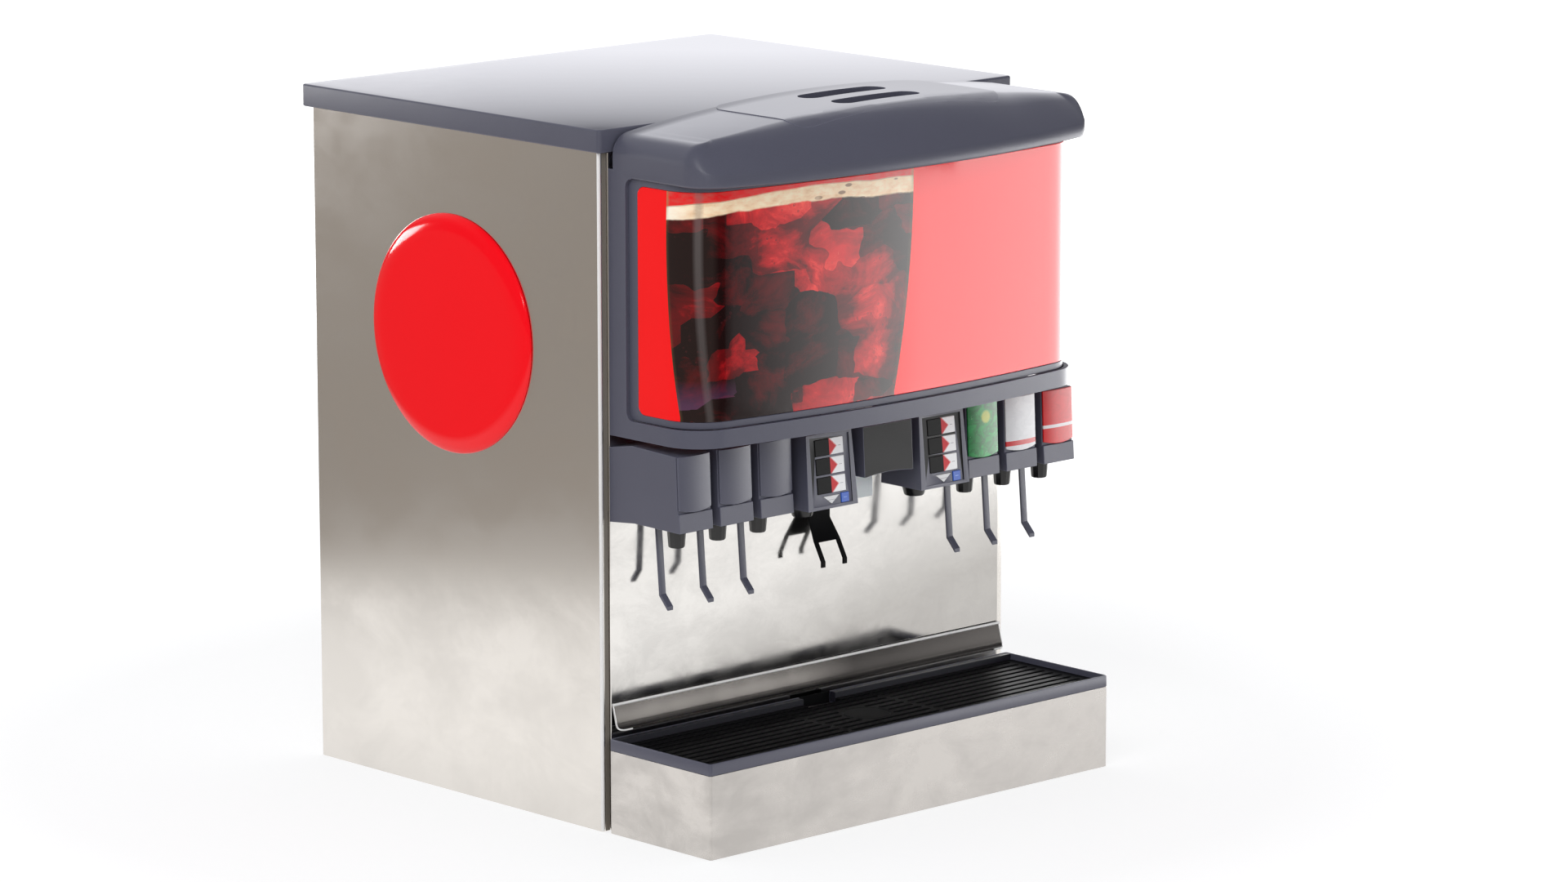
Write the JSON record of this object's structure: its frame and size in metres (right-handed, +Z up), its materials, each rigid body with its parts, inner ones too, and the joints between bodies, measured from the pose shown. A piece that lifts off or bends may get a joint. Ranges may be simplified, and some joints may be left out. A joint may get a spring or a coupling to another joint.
{
  "type": "fountain soda dispenser",
  "caption": "Countertop ice and beverage dispenser with a lit display, lever valves, multi-flavour modules, drip tray and lift-off hopper lid.",
  "frame": {"origin": "centre of the cabinet's footprint, on the counter", "axes": "+Z up, -Y towards the customer, +X to the customer's right"},
  "size_m": [0.7803, 0.855, 0.978],
  "materials": {
    "brushed_steel": "vertically brushed stainless, lightly smudged",
    "bright_steel": "bright polished stainless, cloudy smudges",
    "slate_plastic": "satin slate-blue plastic with a fine grain",
    "black_plastic": "satin black plastic",
    "label_grey": "dark grey printed panel, blank",
    "red_gloss": "glossy red dome, blank",
    "display_film": "glossy back-printed display film with a plain drink picture",
    "white_plastic": "satin white plastic",
    "blue_key": "satin blue key",
    "green_label": "glossy green printed label, no lettering",
    "white_label": "glossy white printed label, no lettering",
    "red_label": "glossy red printed label, no lettering",
    "liner_plastic": "smooth pale grey food-grade plastic",
    "foam": "rigid insulating foam",
    "cast_aluminium": "cast aluminium cold plate",
    "steel_rod": "plain stainless",
    "translucent_chute": "milky translucent plastic",
    "motor_paint": "dark painted gear motor"
  },
  "bodies": {
    "cabinet": {"cabinet_wrap": "brushed_steel", "base_pan": "brushed_steel", "splash_panel": "bright_steel", "splash_apron": "bright_steel", "hopper_liner": "liner_plastic", "foam_insulation": "foam", "cold_plate": "cast_aluminium", "agitator_motor": "motor_paint", "ice_chute": "translucent_chute", "side_badge": "red_gloss", "tray_skirt": "brushed_steel", "drip_pan": "slate_plastic", "merchandiser_housing": "slate_plastic", "display_bezel": "slate_plastic", "display_panel": "display_film", "light_board": "white_plastic", "valve_cover_1": "slate_plastic", "valve_cover_2": "slate_plastic", "valve_cover_3": "slate_plastic", "valve_cover_4": "slate_plastic", "valve_cover_5": "slate_plastic", "valve_cover_6": "slate_plastic", "label_plate_1": "slate_plastic", "label_plate_2": "slate_plastic", "label_plate_3": "slate_plastic", "label_plate_4": "green_label", "label_plate_5": "white_label", "label_plate_6": "red_label", "nozzle_1": "black_plastic", "nozzle_2": "black_plastic", "nozzle_3": "black_plastic", "nozzle_4": "black_plastic", "nozzle_5": "black_plastic", "nozzle_6": "black_plastic", "module_cover_1": "slate_plastic", "module_cover_2": "slate_plastic", "module_nozzle_1": "black_plastic", "module_nozzle_2": "black_plastic", "sign_cover": "label_grey"},
    "lever_1": {"valve_lever_1": "slate_plastic"},
    "lever_2": {"valve_lever_2": "slate_plastic"},
    "lever_3": {"valve_lever_3": "slate_plastic"},
    "lever_4": {"valve_lever_4": "slate_plastic"},
    "lever_5": {"valve_lever_5": "slate_plastic"},
    "lever_6": {"valve_lever_6": "slate_plastic"},
    "selector_1_1": {"selector_key_1_1": "white_plastic"},
    "selector_1_2": {"selector_key_1_2": "white_plastic"},
    "selector_1_3": {"selector_key_1_3": "white_plastic"},
    "pour_1": {"pour_key_1": "white_plastic"},
    "water_1": {"water_key_1": "blue_key"},
    "selector_2_1": {"selector_key_2_1": "white_plastic"},
    "selector_2_2": {"selector_key_2_2": "white_plastic"},
    "selector_2_3": {"selector_key_2_3": "white_plastic"},
    "pour_2": {"pour_key_2": "white_plastic"},
    "water_2": {"water_key_2": "blue_key"},
    "ice_lever": {"ice_lever": "black_plastic"},
    "ice_gate": {"ice_gate": "steel_rod"},
    "agitator": {"agitator": "steel_rod"},
    "lid": {"lid": "slate_plastic"},
    "cup_rest": {"cup_rest": "black_plastic"}
  },
  "joints": [
    {"name": "lever_1_push", "type": "hinge", "parent": "cabinet", "child": "lever_1", "pos_m": [-0.3385, -0.364, 0.448], "axis": [1, 0, 0], "range_deg": [0, 12]},
    {"name": "lever_2_push", "type": "hinge", "parent": "cabinet", "child": "lever_2", "pos_m": [-0.2647, -0.364, 0.448], "axis": [1, 0, 0], "range_deg": [0, 12]},
    {"name": "lever_3_push", "type": "hinge", "parent": "cabinet", "child": "lever_3", "pos_m": [-0.1909, -0.364, 0.448], "axis": [1, 0, 0], "range_deg": [0, 12]},
    {"name": "lever_4_push", "type": "hinge", "parent": "cabinet", "child": "lever_4", "pos_m": [0.2003, -0.364, 0.448], "axis": [1, 0, 0], "range_deg": [0, 12]},
    {"name": "lever_5_push", "type": "hinge", "parent": "cabinet", "child": "lever_5", "pos_m": [0.2741, -0.364, 0.448], "axis": [1, 0, 0], "range_deg": [0, 12]},
    {"name": "lever_6_push", "type": "hinge", "parent": "cabinet", "child": "lever_6", "pos_m": [0.3479, -0.364, 0.448], "axis": [1, 0, 0], "range_deg": [0, 12]},
    {"name": "selector_1_1_press", "type": "slide", "parent": "cabinet", "child": "selector_1_1", "axis": [0, 0.9953, -0.0965], "range_m": [0, 0.0015]},
    {"name": "selector_1_2_press", "type": "slide", "parent": "cabinet", "child": "selector_1_2", "axis": [0, 0.9953, -0.0965], "range_m": [0, 0.0015]},
    {"name": "selector_1_3_press", "type": "slide", "parent": "cabinet", "child": "selector_1_3", "axis": [0, 0.9953, -0.0965], "range_m": [0, 0.0015]},
    {"name": "pour_1_press", "type": "slide", "parent": "cabinet", "child": "pour_1", "axis": [0, 0.9953, -0.0965], "range_m": [0, 0.0015]},
    {"name": "water_1_press", "type": "slide", "parent": "cabinet", "child": "water_1", "axis": [0, 0.9953, -0.0965], "range_m": [0, 0.0015]},
    {"name": "selector_2_1_press", "type": "slide", "parent": "cabinet", "child": "selector_2_1", "axis": [0, 0.9953, -0.0965], "range_m": [0, 0.0015]},
    {"name": "selector_2_2_press", "type": "slide", "parent": "cabinet", "child": "selector_2_2", "axis": [0, 0.9953, -0.0965], "range_m": [0, 0.0015]},
    {"name": "selector_2_3_press", "type": "slide", "parent": "cabinet", "child": "selector_2_3", "axis": [0, 0.9953, -0.0965], "range_m": [0, 0.0015]},
    {"name": "pour_2_press", "type": "slide", "parent": "cabinet", "child": "pour_2", "axis": [0, 0.9953, -0.0965], "range_m": [0, 0.0015]},
    {"name": "water_2_press", "type": "slide", "parent": "cabinet", "child": "water_2", "axis": [0, 0.9953, -0.0965], "range_m": [0, 0.0015]},
    {"name": "ice_lever_push", "type": "hinge", "parent": "cabinet", "child": "ice_lever", "pos_m": [0.0047, -0.3175, 0.445], "axis": [1, 0, 0], "range_deg": [0, 10]},
    {"name": "ice_gate_lift", "type": "slide", "parent": "cabinet", "child": "ice_gate", "axis": [0, 0, 1], "range_m": [0, 0.0402]},
    {"name": "agitator_spin", "type": "hinge", "parent": "cabinet", "child": "agitator", "pos_m": [0.0047, 0, 0.72], "axis": [0, 1, 0], "continuous": true},
    {"name": "lid_lift", "type": "slide", "parent": "cabinet", "child": "lid", "axis": [0, 0, 1], "range_m": [0, 0.12]},
    {"name": "cup_rest_lift", "type": "slide", "parent": "cabinet", "child": "cup_rest", "axis": [0, 0, 1], "range_m": [0, 0.08]}
  ],
  "couplings": [
    {"joint": "ice_gate_lift", "follows": "ice_lever_push", "m_per_rad": 0.2292}
  ]
}
